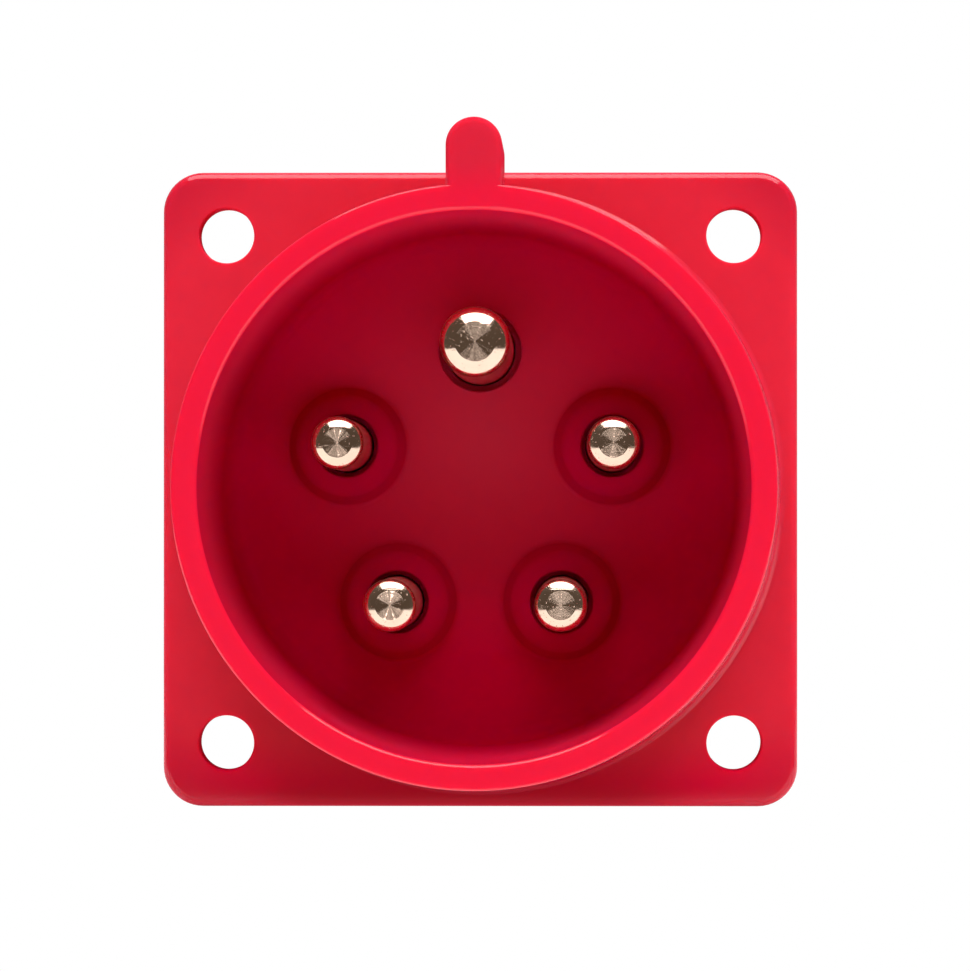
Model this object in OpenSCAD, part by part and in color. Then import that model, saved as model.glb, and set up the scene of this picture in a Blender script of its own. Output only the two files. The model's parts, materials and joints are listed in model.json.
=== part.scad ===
// Five-pole panel mount appliance inlet: a moulded shroud on a square flange, turned brass pins
// that end in clamp terminals, and a rear carrier that traps the pins.
// Built with the pins along local +z and the key nose along local +y, then stood up so that the
// shroud faces -Y and the key nose points up +Z. The origin is on the flange's panel side.

/* [Flange] */
// Side of the square flange, from which the diameters inside it follow
flange_size = 75; // [70:0.5:90]
// Thickness of the flange
flange_t = 5; // [4:0.5:7]
// Radius of the flange's four corners
flange_corner_r = 4.7; // [3:0.1:6]
// Radius along the flange's front edge
flange_edge_r = 1; // [0.4:0.1:1.2]
// Distance of each fixing hole from the two edges beside it
hole_inset = 7.5; // [6:0.1:8]
// Diameter of the fixing holes
hole_d = 6.5; // [4.5:0.1:7]

/* [Shroud] */
// Height of the rim above the flange's front face
shroud_h = 44; // [40:0.5:55]
// Distance from the shroud's foot to the flange's edge
foot_inset = 2; // [1.9:0.1:4]
// Wall of the shroud at the rim
rim_wall = 2.9; // [2.5:0.1:5]
// Distance that the shroud's outside widens from the rim to the flange
outer_draft = 1.75; // [0.5:0.05:2.5]
// Distance that the shroud's inside narrows from the rim to the floor
inner_draft = 0.65; // [0.1:0.05:0.8]
// Thickness of the floor that the pins pass
floor_t = 3.5; // [2.5:0.1:4]
// Rounding of the rim's two edges
rim_round_r = 0.5; // [0.2:0.05:1]
// Fillet where the shroud meets the flange
foot_fillet_r = 0.8; // [0.3:0.1:1]
// Fillet between the floor and the shroud
floor_fillet_r = 0.5; // [0.3:0.1:2.5]

/* [Key nose] */
// Width of the key nose on the shroud
nose_w = 6.3; // [5:0.1:8]
// Height of the nose's crest above the rim's outside
nose_rise = 7.5; // [5:0.1:10]
// Length of the nose, back from the rim
nose_len = 24; // [15:0.5:32]
// Rounding of the nose's front edge
nose_edge_r = 0.8; // [0.3:0.1:1.5]

/* [Pins] */
// Diameter of the line and neutral pins
line_pin_d = 6; // [5:0.1:6.4]
// Diameter of the earth pin
earth_pin_d = 8; // [7:0.1:8.4]
// Height of the line and neutral pins above the floor
line_pin_h = 34; // [28:0.5:38]
// Height of the earth pin above the floor
earth_pin_h = 36.5; // [30:0.5:39]
// Radius of the dome on a line or neutral pin's tip
line_dome_r = 6; // [4:0.1:8]
// Diameter of the turned flat on a line or neutral pin's tip
line_flat_d = 3.3; // [2:0.1:4]
// Radius of the dome on the earth pin's tip
earth_dome_r = 7.2; // [5:0.1:10]
// Diameter of the turned flat on the earth pin's tip
earth_flat_d = 4.4; // [3:0.1:5.5]
// Rounding between a tip's dome and the pin's side
tip_edge_r = 0.75; // [0.2:0.05:1]
// Radial play of a line or neutral pin in the floor
line_play = 0.65; // [0.2:0.05:0.8]
// Radial play of the earth pin in the floor
earth_play = 0.85; // [0.2:0.05:1]

/* [Insulating bosses] */
// Diameter of the boss round each line and neutral pin
boss_d = 13.6; // [11:0.1:15]
// Height of the bosses above the floor
boss_h = 6; // [2:0.1:8]
// Rounding of the bosses' shoulders
boss_round_r = 1.7; // [0.5:0.1:3]
// Slope of a boss's side, in degrees off upright
boss_draft = 12; // [0:0.5:15]

/* [Terminals] */
// Diameter of the collar that traps a pin
collar_d = 11.4; // [11:0.1:12]
// Thickness of the collar
collar_t = 3; // [2:0.1:4]
// Depth of the flat that stops a collar turning
collar_flat = 0.8; // [0.3:0.1:1]
// Diameter of the terminal barrel
barrel_d = 10.4; // [9.6:0.1:10.6]
// Length of the terminal barrel behind the collar
barrel_len = 26; // [24:0.5:30]
// Chamfer at the barrel's end
barrel_chamfer = 0.5; // [0.2:0.1:1]
// Diameter of the wire bore
wire_d = 5.5; // [4.5:0.1:5.8]
// Depth of the wire bore
wire_depth = 16; // [13:0.5:18]
// Distance of the clamp screw from the barrel's end
clamp_from_end = 7; // [5.5:0.1:8]

/* [Clamp screws] */
// Thread diameter of the clamp screws
clamp_d = 4; // [3:0.5:4]
// Length of the clamp screws under the head
clamp_len = 6; // [5:0.5:7]
// Diameter of the clamp screw's head
clamp_head_d = 7; // [6:0.1:7.4]
// Height of the clamp screw's head
clamp_head_h = 2.6; // [2:0.1:3]
// Width of the screwdriver slot
slot_w = 1; // [0.6:0.1:1.2]
// Depth of the screwdriver slot
slot_depth = 1.2; // [0.8:0.1:1.4]

/* [Rear skirt and contact carrier] */
// Wall of the tube round each terminal
tube_wall = 2.2; // [1.5:0.1:2.6]
// Length of the tubes past the end of the terminals
tube_lip = 2; // [1:0.1:4]
// Distance from the terminals' tubes to the skirt, which places the pins
tube_inset = 3.7; // [2:0.1:5]
// Step from the shroud's inside in to the skirt behind the flange
skirt_step = 0.2; // [0:0.1:1]
// Wall of the skirt
skirt_wall = 2.4; // [2:0.1:2.8]
// Length of the skirt behind the flange
skirt_len = 10; // [8:0.5:12]
// Depth behind the flange at which the carrier seats
seat_depth = 4; // [3:0.1:6]
// Thickness of the carrier's plate
carrier_plate_t = 4; // [3:0.1:5]
// Thickness of the barrier ribs between the terminals
rib_t = 2; // [1.5:0.1:2.4]
// Diameter of the carrier's hub
hub_d = 20; // [18.5:0.1:22]

/* [Carrier screws] */
// Distance of the carrier screws from the skirt's inside
post_inset = 3.8; // [3.5:0.1:4.5]
// Diameter of the posts that take the carrier screws
post_d = 8; // [7:0.1:8.4]
// Thread diameter of the carrier screws
carrier_screw_d = 3.5; // [3:0.1:4]
// Length of the carrier screws under the head
carrier_screw_len = 10; // [9:0.1:10]
// Diameter of the carrier screw's head
carrier_head_d = 6.4; // [5.5:0.1:6.8]
// Height of the carrier screw's head
carrier_head_h = 2.4; // [1.8:0.1:3]

/* [Gasket] */
// Thickness of the gasket behind the flange
gasket_t = 2; // [1:0.1:4]
// Distance of the gasket's edge inside the flange's edge
gasket_inset = 0.5; // [0:0.1:2]
// Distance that the gasket's holes stand back from the fixing holes
gasket_play = 0.5; // [0.1:0.1:1]

/* [Fits] */
// Clearance between pieces that seat in each other
seat_gap = 0.1; // [0.05:0.01:0.2]
// Radial clearance of a screw in its thread
thread_gap = 0.05; // [0.02:0.01:0.1]
// Radial clearance of a screw or its head in a plain hole
screw_gap = 0.4; // [0.2:0.05:0.5]

/* [Hidden] */
$fn = 96;
ARC_STEPS = 6;
CUT = 1;

POLES = ["line_1", "line_2", "line_3", "neutral", "earth"];
POLE_ANGLE = [162, 234, 306, 18, 90];
EARTH = 4;
POST_ANGLE = [54, 126, 270];

// Levels along the axis, from the flange's panel side
front_z = flange_t;
floor_z = front_z;
rim_z = front_z + shroud_h;
floor_under_z = floor_z - floor_t;
seat_z = -seat_depth;
plate_z = seat_z - carrier_plate_t;
collar_top_z = floor_under_z - seat_gap;
collar_z = collar_top_z - collar_t;
barrel_end_z = collar_z - barrel_len;
tube_end_z = barrel_end_z - tube_lip;
clamp_z = barrel_end_z + clamp_from_end;

// Diameters from the flange inward
foot_outer_d = flange_size - 2 * foot_inset;
rim_outer_d = foot_outer_d - 2 * outer_draft;
rim_inner_d = rim_outer_d - 2 * rim_wall;
floor_d = rim_inner_d - 2 * inner_draft;
skirt_outer_d = floor_d - 2 * skirt_step;
skirt_inner_d = skirt_outer_d - 2 * skirt_wall;
tube_bore_d = barrel_d + 2 * seat_gap;
tube_d = tube_bore_d + 2 * tube_wall;
socket_d = collar_d + 2 * seat_gap + 2 * tube_wall;

// Places that follow from them
pin_circle_r = (skirt_inner_d - tube_d) / 2 - tube_inset;
hole_spacing = flange_size - 2 * hole_inset;
nose_reach = rim_outer_d / 2 + nose_rise;
carrier_screw_r = skirt_inner_d / 2 - post_inset;
rib_reach = carrier_screw_r - carrier_head_d / 2 - screw_gap;
gap_angle = 180 / len(POLES);

// Rest places of the clamp screws, from a terminal's axis
clamp_tip_rest = wire_d / 2 + seat_gap;
clamp_head_rest = clamp_tip_rest + clamp_len;

red = [0.80, 0.05, 0.10];
brass = [0.83, 0.66, 0.36];
zinc = [0.74, 0.75, 0.76];
charcoal = [0.13, 0.13, 0.14];
black = [0.05, 0.05, 0.05];

function pin_d(i) = i == EARTH ? earth_pin_d : line_pin_d;
function pin_tip_z(i) = floor_z + (i == EARTH ? earth_pin_h : line_pin_h);
function floor_hole_d(i) = pin_d(i) + 2 * (i == EARTH ? earth_play : line_play);
function dome_r(i) = i == EARTH ? earth_dome_r : line_dome_r;
function flat_r(i) = (i == EARTH ? earth_flat_d : line_flat_d) / 2;

// Points on an arc about c, from angle a0 to angle a1
function arc(c, r, a0, a1) =
    [for (k = [0:ARC_STEPS]) let (a = a0 + (a1 - a0) * k / ARC_STEPS) c + r * [cos(a), sin(a)]];

module stand_up() { rotate([90, 0, 0]) children(); }

module at_pole(i) { rotate(POLE_ANGLE[i]) translate([pin_circle_r, 0, 0]) children(); }

module at_post(i) { rotate(POST_ANGLE[i]) translate([carrier_screw_r, 0, 0]) children(); }

module at_fixing_holes() {
    for (x = [-1, 1], y = [-1, 1])
        translate([x * hole_spacing / 2, y * hole_spacing / 2, 0]) children();
}

// A cylinder between two levels
module bar(d, z0, z1) { translate([0, 0, z0]) cylinder(d = d, h = z1 - z0); }

// Half section of a plate whose outer front edge is rounded
module rounded_edge(width, thick, r) {
    square([width - r, thick]);
    square([width, thick - r]);
    translate([width - r, thick - r]) circle(r);
}

// Square plate with round corners and a rounded front edge
module flange_plate() {
    straight = flange_size - 2 * flange_corner_r;
    translate([-straight / 2, -straight / 2, 0]) cube([straight, straight, flange_t]);
    for (a = [0:90:270]) rotate(a) {
        translate([straight / 2, straight / 2, 0]) rotate([90, 0, 0]) linear_extrude(straight)
            rounded_edge(flange_corner_r, flange_t, flange_edge_r);
        translate([straight / 2, straight / 2, 0]) rotate_extrude(angle = 90)
            rounded_edge(flange_corner_r, flange_t, flange_edge_r);
    }
}

// Concave fillet in the corner at the origin, between the x and y axes
module fillet_section(r) {
    difference() {
        square(r);
        translate([r, r]) circle(r);
    }
}

// Floor, shroud and rear skirt, turned about the axis
module shroud_and_floor() {
    floor_r = floor_d / 2;
    foot_r = foot_outer_d / 2;
    rim_in = rim_inner_d / 2;
    rim_out = rim_outer_d / 2;
    round_z = rim_z - rim_round_r;
    rotate_extrude() {
        polygon([
            [0, floor_under_z], [skirt_inner_d / 2, floor_under_z], [skirt_inner_d / 2, -skirt_len],
            [skirt_outer_d / 2, -skirt_len], [skirt_outer_d / 2, flange_t / 2],
            [foot_r + foot_fillet_r, flange_t / 2], [foot_r + foot_fillet_r, front_z],
            [foot_r, front_z], [foot_r, front_z + foot_fillet_r], [rim_out, round_z],
            [rim_in, round_z], [floor_r, floor_z + floor_fillet_r], [floor_r, floor_z], [0, floor_z]
        ]);
        translate([foot_r, front_z]) fillet_section(foot_fillet_r);
        translate([floor_r, floor_z]) mirror([1, 0]) fillet_section(floor_fillet_r);
        for (x = [rim_in + rim_round_r, rim_out - rim_round_r]) translate([x, round_z]) circle(rim_round_r);
        translate([rim_in + rim_round_r, round_z]) square([rim_wall - 2 * rim_round_r, rim_round_r]);
    }
}

// Rib with a round crest that keys the mating connector and takes its lid's hook
module key_nose() {
    crest_r = nose_w / 2;
    root = rim_inner_d / 2 + rim_round_r;
    translate([0, nose_reach - crest_r, rim_z - nose_len]) {
        rotate_extrude(angle = 180) rounded_edge(crest_r, nose_len, nose_edge_r);
        for (side = [0, 1]) mirror([side, 0, 0]) rotate([90, 0, 0])
            linear_extrude(nose_reach - crest_r - root) rounded_edge(crest_r, nose_len, nose_edge_r);
    }
}

// Raised collar of insulation with sloping sides and a rounded shoulder
module insulating_boss() {
    foot_r = boss_d / 2;
    top_z = floor_z + boss_h;
    round_z = top_z - boss_round_r;
    round_x = foot_r - (round_z - floor_z) * tan(boss_draft) - boss_round_r / cos(boss_draft);
    rotate_extrude() {
        polygon([
            [0, floor_under_z], [foot_r, floor_under_z], [foot_r, floor_z],
            [round_x + boss_round_r * cos(boss_draft), round_z + boss_round_r * sin(boss_draft)],
            [round_x, top_z], [0, top_z]
        ]);
        translate([round_x, round_z]) circle(boss_round_r);
    }
}

// Post behind the floor for a carrier screw, with a web to the skirt
module screw_post() {
    height = floor_z - floor_t / 2 - seat_z;
    bar(post_d, seat_z, seat_z + height);
    translate([0, -post_d / 2, seat_z]) cube([post_inset + skirt_wall / 2, post_d, height]);
}

// Shape of a pin's collar, flat on the side that faces the axis
module collar_shape(gap, z0, z1) {
    r = collar_d / 2 + gap;
    difference() {
        bar(2 * r, z0, z1);
        translate([-2 * r - collar_d / 2 + collar_flat - gap, -2 * r, z0 - CUT])
            cube([2 * r, 4 * r, z1 - z0 + 2 * CUT]);
    }
}

module housing() {
    color(red) stand_up() difference() {
        union() {
            difference() {
                flange_plate();
                bar(skirt_outer_d - skirt_wall, -CUT, flange_t + CUT);
            }
            shroud_and_floor();
            key_nose();
            for (i = [0:len(POLES) - 1]) at_pole(i) if (i != EARTH) insulating_boss();
            for (i = [0:len(POST_ANGLE) - 1]) at_post(i) screw_post();
        }
        at_fixing_holes() bar(hole_d, -CUT, flange_t + CUT);
        for (i = [0:len(POLES) - 1]) at_pole(i)
            bar(floor_hole_d(i), floor_under_z - CUT, floor_z + boss_h + CUT);
        for (i = [0:len(POST_ANGLE) - 1]) at_post(i)
            bar(carrier_screw_d + 2 * thread_gap, seat_z - CUT, plate_z + carrier_screw_len + thread_gap);
    }
}

module flange_gasket() {
    side = flange_size - 2 * gasket_inset;
    corner_r = flange_corner_r - gasket_inset;
    straight = side - 2 * corner_r;
    color(black) stand_up() translate([0, 0, -gasket_t]) linear_extrude(gasket_t) difference() {
        union() {
            square([side, straight], center = true);
            square([straight, side], center = true);
            for (x = [-1, 1], y = [-1, 1]) translate([x * straight / 2, y * straight / 2]) circle(corner_r);
        }
        circle(d = skirt_outer_d + 2 * seat_gap);
        at_fixing_holes() circle(d = hole_d + 2 * gasket_play);
    }
}

// Plate, hub, sockets for the collars, terminal tubes and barrier ribs, bored for the terminals
module contact_carrier() {
    mid_plate_z = plate_z + carrier_plate_t / 2;
    color(charcoal) stand_up() difference() {
        union() {
            bar(skirt_inner_d - 2 * seat_gap, plate_z, seat_z);
            bar(hub_d, tube_end_z, mid_plate_z);
            for (i = [0:len(POLES) - 1]) {
                at_pole(i) bar(socket_d, mid_plate_z, collar_top_z);
                at_pole(i) bar(tube_d, tube_end_z, mid_plate_z);
                rotate(POLE_ANGLE[i] + gap_angle) translate([0, -rib_t / 2, tube_end_z])
                    cube([rib_reach, rib_t, mid_plate_z - tube_end_z]);
            }
        }
        for (i = [0:len(POLES) - 1]) at_pole(i) {
            collar_shape(seat_gap, collar_z, collar_top_z + CUT);
            bar(tube_bore_d, tube_end_z - CUT, collar_top_z + CUT);
            translate([0, 0, clamp_z]) rotate([0, 90, 0]) bar(clamp_head_d + 2 * screw_gap, 0, tube_d);
        }
        for (i = [0:len(POST_ANGLE) - 1]) at_post(i)
            bar(carrier_screw_d + 2 * screw_gap, plate_z - CUT, seat_z + CUT);
    }
}

// Outline of a pin's tip: a small edge rounding, then a shallow dome that ends in a turned flat
function tip_outline(r, dome_r, flat_r, tip_z) = let (
    dome_z = tip_z - sqrt(dome_r * dome_r - flat_r * flat_r),
    edge_x = r - tip_edge_r,
    edge_z = sqrt((dome_r - tip_edge_r) * (dome_r - tip_edge_r) - edge_x * edge_x),
    lean = atan2(edge_z, edge_x),
    dome = arc([0, dome_z], dome_r, lean, acos(flat_r / dome_r))
) concat(
    arc([edge_x, dome_z + edge_z], tip_edge_r, 0, lean),
    [for (k = [1:ARC_STEPS]) dome[k]]
);

// Turned pin: round tip, contact length, trapped collar and terminal barrel with its wire bore
module pin(i) {
    r = pin_d(i) / 2;
    barrel_r = barrel_d / 2;
    color(brass) stand_up() at_pole(i) difference() {
        union() {
            rotate_extrude() polygon(concat(
                [[0, collar_top_z - CUT], [r, collar_top_z - CUT]],
                tip_outline(r, dome_r(i), flat_r(i), pin_tip_z(i)),
                [[0, pin_tip_z(i)]]
            ));
            collar_shape(0, collar_z, collar_top_z);
            rotate_extrude() polygon([
                [0, collar_top_z - CUT], [barrel_r, collar_top_z - CUT],
                [barrel_r, barrel_end_z + barrel_chamfer], [barrel_r - barrel_chamfer, barrel_end_z],
                [0, barrel_end_z]
            ]);
        }
        bar(wire_d, barrel_end_z - CUT, barrel_end_z + wire_depth);
        translate([0, 0, clamp_z]) rotate([0, 90, 0]) bar(clamp_d + 2 * thread_gap, 0, barrel_d);
    }
}

// Cheese-head clamp screw that stands radially in a terminal, clear of the wire bore
module clamp_screw(i) {
    head_top = clamp_head_rest + clamp_head_h;
    color(zinc) stand_up() at_pole(i) translate([0, 0, clamp_z]) rotate([0, 90, 0]) difference() {
        union() {
            bar(clamp_d, clamp_tip_rest, clamp_head_rest + clamp_head_h / 2);
            bar(clamp_head_d, clamp_head_rest, head_top);
        }
        translate([-clamp_head_d, -slot_w / 2, head_top - slot_depth])
            cube([2 * clamp_head_d, slot_w, slot_depth + CUT]);
    }
}

// Pan-head screw that holds the carrier to a post behind the floor
module carrier_screw(i) {
    color(zinc) stand_up() at_post(i) difference() {
        union() {
            bar(carrier_screw_d, plate_z - carrier_head_h / 2, plate_z + carrier_screw_len);
            bar(carrier_head_d, plate_z - carrier_head_h, plate_z);
        }
        for (a = [0, 90]) rotate(a) translate([-carrier_head_d / 4, -slot_w / 2, plate_z - carrier_head_h - CUT])
            cube([carrier_head_d / 2, slot_w, slot_depth + CUT]);
    }
}

housing();
flange_gasket();
contact_carrier();
pin(0);  // pin_line_1
pin(1);  // pin_line_2
pin(2);  // pin_line_3
pin(3);  // pin_neutral
pin(4);  // pin_earth
clamp_screw(0);  // clamp_screw_line_1
clamp_screw(1);  // clamp_screw_line_2
clamp_screw(2);  // clamp_screw_line_3
clamp_screw(3);  // clamp_screw_neutral
clamp_screw(4);  // clamp_screw_earth
carrier_screw(0);  // carrier_screw_right
carrier_screw(1);  // carrier_screw_left
carrier_screw(2);  // carrier_screw_bottom
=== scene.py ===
# %% [markdown]
# # A panel mount power inlet, dressed for its portrait
# The CAD model gives sixteen plain solids: one moulded housing, a gasket, a contact carrier, five pins and
# eight screws. This lesson models each of them again with the small radii, threads and tool marks that catch
# the light, and gives each one a finish. The CAD nodes stay in the file as the fixed frame, so every size
# below can be held against them.

# %% Load the frame
import json
import math
import random

import bmesh
import bpy
from mathutils import Matrix, Vector

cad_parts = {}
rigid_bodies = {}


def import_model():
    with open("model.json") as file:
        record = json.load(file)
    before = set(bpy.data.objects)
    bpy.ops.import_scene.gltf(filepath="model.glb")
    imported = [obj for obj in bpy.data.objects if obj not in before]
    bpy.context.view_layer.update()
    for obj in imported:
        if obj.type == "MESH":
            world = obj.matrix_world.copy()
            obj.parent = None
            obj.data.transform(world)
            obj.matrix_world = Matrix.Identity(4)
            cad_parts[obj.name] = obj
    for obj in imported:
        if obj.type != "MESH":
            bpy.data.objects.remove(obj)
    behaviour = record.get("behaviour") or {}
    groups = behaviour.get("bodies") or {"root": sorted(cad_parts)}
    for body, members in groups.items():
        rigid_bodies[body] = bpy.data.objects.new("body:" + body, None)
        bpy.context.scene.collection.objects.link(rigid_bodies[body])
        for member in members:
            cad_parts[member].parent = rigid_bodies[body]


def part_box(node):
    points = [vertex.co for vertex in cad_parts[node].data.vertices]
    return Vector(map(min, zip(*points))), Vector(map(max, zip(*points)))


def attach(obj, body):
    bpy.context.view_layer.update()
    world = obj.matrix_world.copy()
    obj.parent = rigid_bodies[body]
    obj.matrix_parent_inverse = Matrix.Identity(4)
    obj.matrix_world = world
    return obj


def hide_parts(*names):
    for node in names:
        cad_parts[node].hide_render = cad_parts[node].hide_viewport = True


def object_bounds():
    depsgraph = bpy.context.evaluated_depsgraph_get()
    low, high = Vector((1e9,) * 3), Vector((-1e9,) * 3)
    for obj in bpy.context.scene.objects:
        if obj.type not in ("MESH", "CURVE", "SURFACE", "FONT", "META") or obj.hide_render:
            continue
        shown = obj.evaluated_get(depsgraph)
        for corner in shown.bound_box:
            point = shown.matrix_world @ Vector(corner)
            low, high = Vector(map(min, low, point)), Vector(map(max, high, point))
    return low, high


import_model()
cad_low, cad_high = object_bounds()
print("CAD box in mm:", [round(1000 * (b - a), 1) for a, b in zip(cad_low, cad_high)])

# %% [markdown]
# ## A bench to work on
# The inlet is a turned shape, so it is easiest to draw lying on its back: the pins point up +Z, and sizes
# are in millimetres. One matrix carries a finished mesh from the bench to the frame, where the shroud looks
# along -Y and a unit is a metre. The object itself then stays at the origin, and its place is in its mesh.

# %% Bench and frame
MM = 0.001
STAND_UP = Matrix.Rotation(math.radians(90), 4, "X") @ Matrix.Scale(MM, 4)
POLES = {"line_1": 162, "line_2": 234, "line_3": 306, "neutral": 18, "earth": 90}
POSTS = {"right": 54, "left": 126, "bottom": 270}
PIN_CIRCLE_R = 16.4
POST_CIRCLE_R = 23.8


def at_angle(degrees, radius):
    """Place on a circle about Z, where X points outwards."""
    return Matrix.Rotation(math.radians(degrees), 4, "Z") @ Matrix.Translation((radius, 0, 0))


POLE_PLACE = {pole: at_angle(angle, PIN_CIRCLE_R) for pole, angle in POLES.items()}
POST_PLACE = {post: at_angle(angle, POST_CIRCLE_R) for post, angle in POSTS.items()}
print("poles:", {p: [round(c, 1) for c in m.translation] for p, m in POLE_PLACE.items()})

# %% [markdown]
# ## Helpers
# Most of this object comes off a lathe or out of a round mould, so the first helper is a lathe: it takes the
# corners of half a section, rounds those that ask for a radius with a vertex bevel, and spins the outline
# into a closed skin. A Screw modifier could do it too, but an operator leaves a plain mesh that can be cut
# straight away. A plain bar is four such corners.

# %% Lathe
ARC_STEPS = 6
TURN_STEPS = 96


def closed(bm):
    """Merge doubles and point the faces outwards."""
    bmesh.ops.remove_doubles(bm, verts=bm.verts[:], dist=1e-5)
    bmesh.ops.recalc_face_normals(bm, faces=bm.faces[:])
    return bm


def rounded(bm, geom, radius, segments, affect):
    """Bevel vertices or edges into arcs."""
    bmesh.ops.bevel(bm, geom=geom, offset=radius, offset_type="OFFSET", affect=affect, segments=segments,
                    profile=0.5, material=-1, clamp_overlap=False)


def turned(corners, steps=TURN_STEPS, arc_steps=ARC_STEPS):
    """Closed skin spun about Z from (radius, height, rounding) corners, once round the half section."""
    bm = bmesh.new()
    outline = [bm.verts.new((r, 0, z)) for r, z, _ in corners]
    bm.faces.new(outline)
    by_radius = {}
    for vert, (_, _, rounding) in zip(outline, corners):
        if rounding:
            by_radius.setdefault(rounding, []).append(vert)
    for rounding, verts in by_radius.items():
        rounded(bm, verts, rounding, arc_steps, "VERTICES")
    bmesh.ops.delete(bm, geom=bm.faces[:], context="FACES_ONLY")
    on_axis = [e for e in bm.edges if all(abs(v.co.x) < 1e-6 for v in e.verts)]
    bmesh.ops.delete(bm, geom=on_axis, context="EDGES")
    bmesh.ops.spin(bm, geom=bm.verts[:] + bm.edges[:], cent=(0, 0, 0), axis=(0, 0, 1),
                   angle=math.tau, steps=steps, use_merge=True)
    return closed(bm)


def bar(radius, low, high, low_r=0, high_r=0, steps=TURN_STEPS):
    """Round bar between two levels, with its two rims rounded on request."""
    return turned([(0, low, 0), (radius, low, low_r), (radius, high, high_r), (0, high, 0)], steps=steps)


trial = bar(2, 0, 5, high_r=0.5)
print("a bar with one round rim:", len(trial.faces), "faces")
trial.free()

# %% [markdown]
# What isn't round is a flat face that is extruded. A square plate starts as one face, whose corners a vertex
# bevel rounds, and an edge bevel then softens the outline of its two sides. A block is a cube that is
# stretched between two corners.

# %% Plate and block
LEVEL_SLACK = 1e-4


def edges_at(bm, level):
    """Edges that lie flat at a level."""
    return [e for e in bm.edges if all(abs(v.co.z - level) < LEVEL_SLACK for v in e.verts)]


def thickened(bm, height):
    """Extrude a flat shape upwards."""
    grown = bmesh.ops.extrude_face_region(bm, geom=bm.faces[:])["geom"]
    top = [v for v in grown if isinstance(v, bmesh.types.BMVert)]
    bmesh.ops.translate(bm, verts=top, vec=(0, 0, height))


def plate(side, corner_r, low, high, low_r, high_r):
    """Square plate with round corners, and rounded edges at its two faces."""
    bm = bmesh.new()
    bmesh.ops.create_grid(bm, x_segments=1, y_segments=1, size=side / 2)
    rounded(bm, bm.verts[:], corner_r, 2 * ARC_STEPS, "VERTICES")
    bmesh.ops.translate(bm, verts=bm.verts[:], vec=(0, 0, low))
    thickened(bm, high - low)
    bmesh.ops.recalc_face_normals(bm, faces=bm.faces[:])
    for level, rounding in ((low, low_r), (high, high_r)):
        rounded(bm, edges_at(bm, level), rounding, ARC_STEPS, "EDGES")
    return closed(bm)


def block(low, high, matrix=Matrix.Identity(4)):
    """Box between two corners, put in place."""
    bm = bmesh.new()
    size = [b - a for a, b in zip(low, high)]
    centre = [(a + b) / 2 for a, b in zip(low, high)]
    stretch = Matrix.Translation(centre) @ Matrix.Diagonal((*size, 1))
    bmesh.ops.create_cube(bm, size=1, matrix=matrix @ stretch)
    return closed(bm)


trial = plate(10, 1, 0, 2, 0.2, 0.2)
print("a small plate:", len(trial.faces), "faces")
trial.free()

# %% [markdown]
# Shapes are joined and cut with the Boolean modifier, because a bmesh has no operator for it. The helper
# lays the shapes on the bench as objects, lets the modifier work, reads the result back into a bmesh and
# clears the bench again.

# %% Boolean


def placed(bm, matrix):
    """Move a mesh to its place on the bench."""
    bmesh.ops.transform(bm, matrix=matrix, verts=bm.verts[:])
    return bm


def on_bench(bm, name):
    """Object made of a bmesh, which is used up."""
    mesh = bpy.data.meshes.new(name)
    bm.to_mesh(mesh)
    bm.free()
    obj = bpy.data.objects.new(name, mesh)
    bpy.context.scene.collection.objects.link(obj)
    return obj


def boolean(first, others, operation):
    """One bmesh from the first and the others, which don't touch each other."""
    base = on_bench(first, "base")
    tools = bpy.data.collections.new("tools")
    for other in others:
        tools.objects.link(on_bench(other, "tool"))
    step = base.modifiers.new("step", "BOOLEAN")
    step.operation = operation
    step.operand_type = "COLLECTION"
    step.collection = tools
    step.solver = "MANIFOLD"
    result = bmesh.new()
    result.from_object(base, bpy.context.evaluated_depsgraph_get())
    for obj in [base, *tools.objects]:
        bpy.data.objects.remove(obj)
    bpy.data.collections.remove(tools)
    return closed(result)


trial = boolean(block((0, 0, 0), (2, 2, 2)), [block((1, 1, 1), (3, 3, 3))], "DIFFERENCE")
print("a cube less its corner:", round(trial.calc_volume(), 2), "mm3")
trial.free()

# %% [markdown]
# A last helper turns a bench mesh into a finished piece. It shades the mesh smooth, keeps edges over a set
# angle sharp and weights the normals by face area, so that big flats stay flat beside a small radius. The
# piece then rides on its CAD body and stands in for its CAD node.

# %% Finish a piece
SHARP = math.radians(32)
FLAT_WEIGHT = 90


def open_edges(bm):
    """Count of edges without two faces, which a closed skin has none of."""
    return sum(1 for e in bm.edges if len(e.link_faces) != 2)


def finished(name, bm, node, body):
    """Piece in the frame, riding on a body in place of a node."""
    bmesh.ops.transform(bm, matrix=STAND_UP, verts=bm.verts[:])
    bmesh.ops.recalc_face_normals(bm, faces=bm.faces[:])
    loose = open_edges(bm)
    mesh = bpy.data.meshes.new(name)
    bm.to_mesh(mesh)
    bm.free()
    mesh.polygons.foreach_set("use_smooth", [True] * len(mesh.polygons))
    mesh.set_sharp_from_angle(angle=SHARP)
    piece = bpy.data.objects.new(name, mesh)
    bpy.context.scene.collection.objects.link(piece)
    flats = piece.modifiers.new("flats", "WEIGHTED_NORMAL")
    flats.keep_sharp = True
    flats.weight = FLAT_WEIGHT
    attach(piece, body)
    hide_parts(node)
    ends = [[pick(v.co[i] for v in mesh.vertices) for i in range(3)] for pick in (min, max)]
    off = max(abs(a - b) for end, box_end in zip(ends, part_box(node)) for a, b in zip(end, box_end))
    print(f"{name}: {len(mesh.polygons)} faces, {loose} open edges, box off by {1000 * off:.2f} mm")
    return piece


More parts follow.
